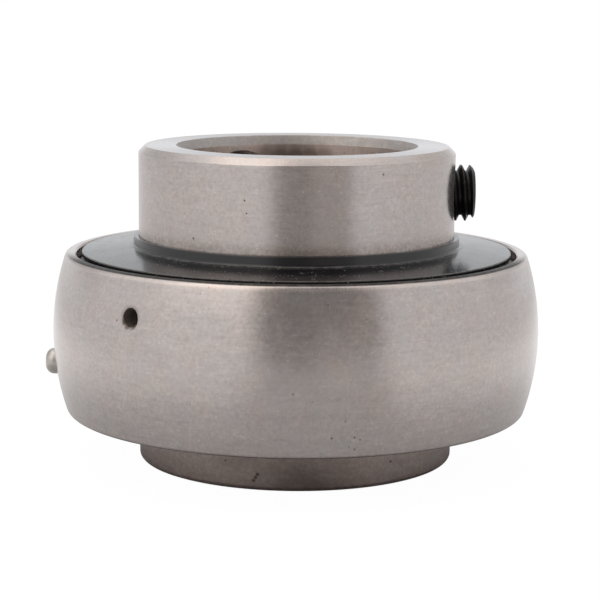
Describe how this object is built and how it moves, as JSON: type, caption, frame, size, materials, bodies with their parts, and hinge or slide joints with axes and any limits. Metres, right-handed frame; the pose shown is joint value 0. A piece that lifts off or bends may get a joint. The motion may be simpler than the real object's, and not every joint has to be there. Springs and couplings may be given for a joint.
{
  "type": "insert ball bearing",
  "caption": "Insert ball bearing with a spherical outer ring, a wide inner ring locked by set screws, slingers, seals and an anti-rotation pin.",
  "frame": {"origin": "centre of the outer ring's spherical outside, on the bore's axis", "axes": "+Z along the bore, towards the collar end with the set screws; +X through the first set screw"},
  "size_m": [0.053, 0.052, 0.0338],
  "materials": {
    "ground_steel_outer": "ground bearing steel",
    "ground_steel_inner": "ground bearing steel",
    "ball_steel": "polished",
    "pressed_steel": "pressed sheet",
    "seal_steel": "phosphated sheet",
    "seal_rubber": "matt",
    "slinger_steel": "black coated pressed sheet",
    "black_steel": "black oxide",
    "pin_steel": "satin"
  },
  "bodies": {
    "outer": {"outer_ring": "ground_steel_outer", "seal_core_upper": "seal_steel", "seal_core_lower": "seal_steel", "seal_rubber_upper": "seal_rubber", "seal_rubber_lower": "seal_rubber", "anti_rotation_pin": "pin_steel"},
    "inner": {"inner_ring": "ground_steel_inner", "slinger_upper": "slinger_steel", "slinger_lower": "slinger_steel"},
    "cage": {"cage_upper": "pressed_steel", "cage_lower": "pressed_steel", "cage_rivet_1": "pressed_steel", "cage_rivet_2": "pressed_steel", "cage_rivet_3": "pressed_steel", "cage_rivet_4": "pressed_steel", "cage_rivet_5": "pressed_steel", "cage_rivet_6": "pressed_steel", "cage_rivet_7": "pressed_steel", "cage_rivet_8": "pressed_steel", "cage_rivet_9": "pressed_steel"},
    "ball_1": {"ball_1": "ball_steel"},
    "ball_2": {"ball_2": "ball_steel"},
    "ball_3": {"ball_3": "ball_steel"},
    "ball_4": {"ball_4": "ball_steel"},
    "ball_5": {"ball_5": "ball_steel"},
    "ball_6": {"ball_6": "ball_steel"},
    "ball_7": {"ball_7": "ball_steel"},
    "ball_8": {"ball_8": "ball_steel"},
    "ball_9": {"ball_9": "ball_steel"},
    "screw_1": {"set_screw_1": "black_steel"},
    "screw_2": {"set_screw_2": "black_steel"}
  },
  "joints": [
    {"name": "inner_spin", "type": "hinge", "parent": "outer", "child": "inner", "pos_m": [0, 0, 0], "axis": [0, 0, 1], "continuous": true},
    {"name": "cage_spin", "type": "hinge", "parent": "outer", "child": "cage", "pos_m": [0, 0, 0], "axis": [0, 0, 1], "continuous": true},
    {"name": "ball_1_roll", "type": "hinge", "parent": "cage", "child": "ball_1", "pos_m": [0.01952, 0, 0], "axis": [0, 0, 1], "continuous": true},
    {"name": "ball_2_roll", "type": "hinge", "parent": "cage", "child": "ball_2", "pos_m": [0.01495, 0.01255, 0], "axis": [0, 0, 1], "continuous": true},
    {"name": "ball_3_roll", "type": "hinge", "parent": "cage", "child": "ball_3", "pos_m": [0.00339, 0.01922, 0], "axis": [0, 0, 1], "continuous": true},
    {"name": "ball_4_roll", "type": "hinge", "parent": "cage", "child": "ball_4", "pos_m": [-0.00976, 0.0169, 0], "axis": [0, 0, 1], "continuous": true},
    {"name": "ball_5_roll", "type": "hinge", "parent": "cage", "child": "ball_5", "pos_m": [-0.01834, 0.00668, 0], "axis": [0, 0, 1], "continuous": true},
    {"name": "ball_6_roll", "type": "hinge", "parent": "cage", "child": "ball_6", "pos_m": [-0.01834, -0.00668, 0], "axis": [0, 0, 1], "continuous": true},
    {"name": "ball_7_roll", "type": "hinge", "parent": "cage", "child": "ball_7", "pos_m": [-0.00976, -0.0169, 0], "axis": [0, 0, 1], "continuous": true},
    {"name": "ball_8_roll", "type": "hinge", "parent": "cage", "child": "ball_8", "pos_m": [0.00339, -0.01922, 0], "axis": [0, 0, 1], "continuous": true},
    {"name": "ball_9_roll", "type": "hinge", "parent": "cage", "child": "ball_9", "pos_m": [0.01495, -0.01255, 0], "axis": [0, 0, 1], "continuous": true},
    {"name": "screw_1_travel", "type": "slide", "parent": "inner", "child": "screw_1", "axis": [-1, 0, 0], "range_m": [-0.002, 0.0004]},
    {"name": "screw_2_travel", "type": "slide", "parent": "inner", "child": "screw_2", "axis": [0.5, -0.866, 0], "range_m": [-0.002, 0.0004]}
  ],
  "couplings": [
    {"joint": "cage_spin", "follows": "inner_spin", "ratio": 0.39833},
    {"joint": "ball_1_roll", "follows": "inner_spin", "ratio": -2.3573},
    {"joint": "ball_2_roll", "follows": "inner_spin", "ratio": -2.3573},
    {"joint": "ball_3_roll", "follows": "inner_spin", "ratio": -2.3573},
    {"joint": "ball_4_roll", "follows": "inner_spin", "ratio": -2.3573},
    {"joint": "ball_5_roll", "follows": "inner_spin", "ratio": -2.3573},
    {"joint": "ball_6_roll", "follows": "inner_spin", "ratio": -2.3573},
    {"joint": "ball_7_roll", "follows": "inner_spin", "ratio": -2.3573},
    {"joint": "ball_8_roll", "follows": "inner_spin", "ratio": -2.3573},
    {"joint": "ball_9_roll", "follows": "inner_spin", "ratio": -2.3573}
  ]
}
